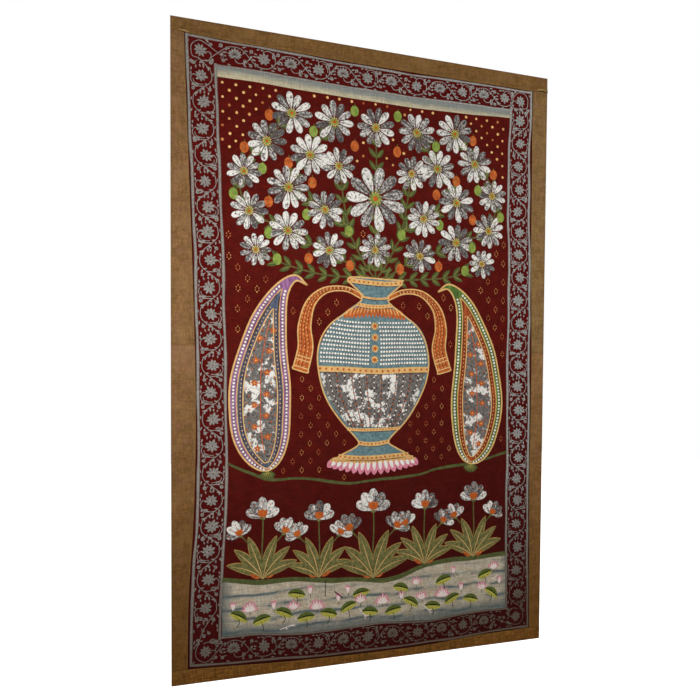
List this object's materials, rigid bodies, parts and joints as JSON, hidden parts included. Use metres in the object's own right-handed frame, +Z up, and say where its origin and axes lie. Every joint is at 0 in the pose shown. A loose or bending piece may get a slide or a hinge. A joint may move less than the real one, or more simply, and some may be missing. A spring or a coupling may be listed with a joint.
{
  "type": "pichwai painting",
  "caption": "Large painted cotton temple hanging with a flower border, edged on all sides with plain brown cloth strips, hanging flat on a wall.",
  "frame": {"origin": "middle of the top edge, in the plane of the wall that the cloth hangs on", "axes": "+X to the right seen from the front, +Z up, front faces -Y"},
  "size_m": [1.5, 0.007, 2.34],
  "materials": {
    "painted_cotton": "matt cotton painted in water colours on a maroon ground, with flaked silver and a worn, faintly cracked surface",
    "brown_strip": "matt ochre brown slubby plain weave, mottled with age"
  },
  "bodies": {
    "root": {"painted_cloth": "painted_cotton", "strip_top": "brown_strip", "strip_bottom": "brown_strip", "strip_left_upper": "brown_strip", "strip_left_lower": "brown_strip", "strip_right_upper": "brown_strip", "strip_right_lower": "brown_strip"}
  },
  "joints": []
}
